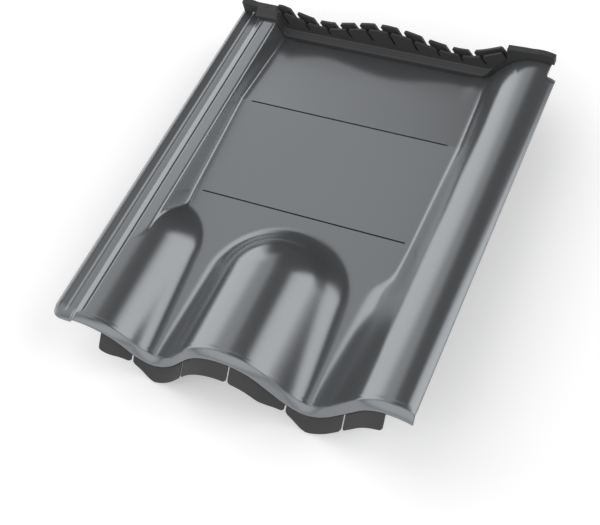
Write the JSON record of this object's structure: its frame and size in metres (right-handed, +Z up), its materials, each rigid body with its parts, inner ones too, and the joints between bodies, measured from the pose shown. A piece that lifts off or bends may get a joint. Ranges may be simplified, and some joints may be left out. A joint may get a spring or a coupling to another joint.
{
  "type": "metal roof tile",
  "caption": "Pressed sheet-metal roof tile with rolls, a recessed field for a roof hook, a ribbed side lock, a finned head seal and a slit front seal.",
  "frame": {"origin": "centre of the box around the tile, at its lowest point", "axes": "+X from the ribbed side lock to the right roll, +Y from the front lip up the roof to the head seal, +Z up"},
  "size_m": [0.33, 0.4096, 0.0703],
  "materials": {
    "grey_paint": "satin metallic grey paint on steel sheet",
    "seal_rubber": "matt black rubber"
  },
  "bodies": {
    "root": {"pressed_sheet": "grey_paint", "head_seal": "seal_rubber", "front_seal": "seal_rubber"}
  },
  "joints": []
}
